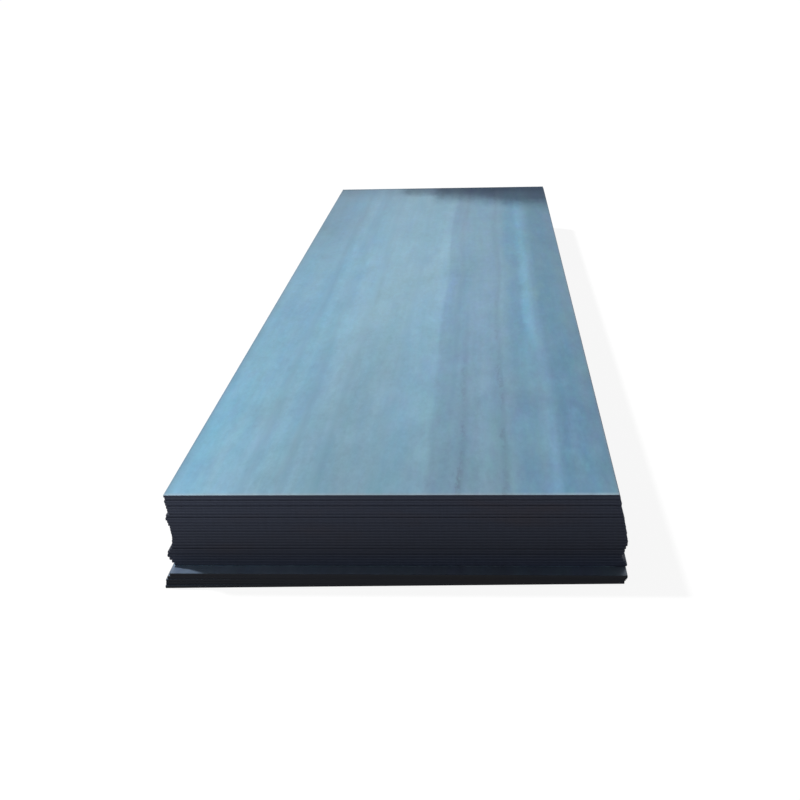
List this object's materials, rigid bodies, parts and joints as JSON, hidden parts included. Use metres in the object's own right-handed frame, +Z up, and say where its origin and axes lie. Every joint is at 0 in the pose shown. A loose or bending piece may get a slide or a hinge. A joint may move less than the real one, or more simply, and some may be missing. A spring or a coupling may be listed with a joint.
{
  "type": "stack of steel plates",
  "caption": "Loose stack of hot-rolled flat steel plates with blue-grey mill scale and sheared edges, the lowest ones standing forward; raw stock for cutting and welding.",
  "frame": {"origin": "on the floor, at the middle of the stack's outline in plan", "axes": "+Y along the plates, away from the front end; +X across them, to the right seen from the front; +Z up"},
  "size_m": [1.7268, 6.0704, 0.3087],
  "materials": {
    "mill_scale": "hot-rolled, blue-grey mill scale with long rolling bands and darker sheared edges"
  },
  "bodies": {
    "root": {"plate_01": "mill_scale", "plate_02": "mill_scale", "plate_03": "mill_scale", "plate_04": "mill_scale", "plate_05": "mill_scale", "plate_06": "mill_scale", "plate_07": "mill_scale", "plate_08": "mill_scale", "plate_09": "mill_scale", "plate_10": "mill_scale", "plate_11": "mill_scale", "plate_12": "mill_scale", "plate_13": "mill_scale", "plate_14": "mill_scale", "plate_15": "mill_scale", "plate_16": "mill_scale", "plate_17": "mill_scale", "plate_18": "mill_scale", "plate_19": "mill_scale", "plate_20": "mill_scale", "plate_21": "mill_scale", "plate_22": "mill_scale", "plate_23": "mill_scale", "plate_24": "mill_scale", "plate_25": "mill_scale", "plate_26": "mill_scale", "plate_27": "mill_scale", "plate_28": "mill_scale", "plate_29": "mill_scale", "plate_30": "mill_scale"}
  },
  "joints": []
}
